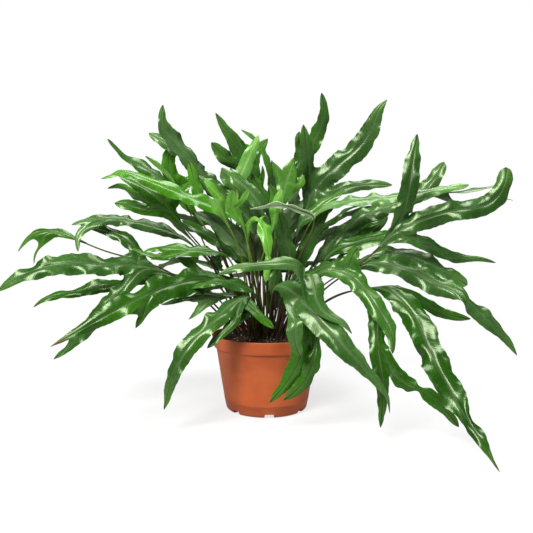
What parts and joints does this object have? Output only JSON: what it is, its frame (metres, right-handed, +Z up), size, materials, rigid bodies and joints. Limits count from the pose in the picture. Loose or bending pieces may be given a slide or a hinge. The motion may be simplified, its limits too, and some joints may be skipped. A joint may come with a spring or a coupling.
{
  "type": "potted fern",
  "caption": "Kangaroo paw fern with long wavy strap and hand-shaped fronds on wiry stems, growing from soil in a round tapered plastic nursery pot with notched feet.",
  "frame": {"origin": "middle of the pot's flat underside, on the surface that it stands on", "axes": "+Z up along the pot's axis, -Y the front, +X to the right of a viewer in front and along the plant's widest spread"},
  "size_m": [0.7421, 0.5725, 0.4711],
  "materials": {
    "pot_plastic": "satin",
    "potting_mix": "matte",
    "mature_leaf": "satin",
    "leaf": "satin",
    "new_leaf": "satin"
  },
  "bodies": {
    "root": {"pot": "pot_plastic", "soil": "potting_mix", "frond_left_long": "mature_leaf", "frond_left_front": "mature_leaf", "frond_left_low": "mature_leaf", "frond_left_arch": "mature_leaf", "frond_left_tip": "leaf", "frond_left_level": "leaf", "frond_left_hand": "mature_leaf", "frond_left_curled": "leaf", "frond_left_bright": "leaf", "frond_upper_left_far": "mature_leaf", "frond_upper_left_paddle": "leaf", "frond_upper_left_broad": "mature_leaf", "frond_upper_left_inner": "mature_leaf", "frond_top_left": "mature_leaf", "frond_top_bright": "new_leaf", "frond_top_middle": "leaf", "frond_top_thin": "leaf", "frond_top_right_tall": "mature_leaf", "frond_top_right_hand": "mature_leaf", "frond_right_spread": "leaf", "frond_centre_pale": "leaf", "frond_right_mid": "mature_leaf", "frond_right_hand": "mature_leaf", "frond_right_under": "mature_leaf", "frond_right_far": "mature_leaf", "frond_right_wave": "mature_leaf", "frond_right_cascade": "mature_leaf", "frond_right_hooked": "mature_leaf", "frond_right_hanging": "mature_leaf", "frond_front_right_broad": "mature_leaf", "frond_front_fork": "mature_leaf", "frond_front_over_pot": "mature_leaf", "frond_front_left_drooping": "mature_leaf", "frond_front_small": "leaf", "frond_left_sliver": "leaf", "frond_lime_hanging": "new_leaf", "frond_lime_curled": "new_leaf", "frond_lime_twisted": "new_leaf", "frond_lime_small": "new_leaf", "frond_centre_dark": "mature_leaf", "frond_centre_bent": "leaf", "frond_centre_left": "mature_leaf", "frond_inner_left": "mature_leaf", "frond_inner_low_left": "mature_leaf", "frond_inner_low_right": "mature_leaf", "frond_inner_right": "mature_leaf", "frond_inner_far_right": "mature_leaf", "frond_back_1": "mature_leaf", "frond_back_2": "mature_leaf", "frond_back_3": "mature_leaf", "frond_back_4": "mature_leaf", "frond_back_5": "mature_leaf", "frond_back_6": "mature_leaf", "frond_back_7": "mature_leaf", "frond_back_8": "mature_leaf", "frond_back_9": "mature_leaf", "frond_back_10": "mature_leaf", "frond_back_11": "mature_leaf"}
  },
  "joints": []
}
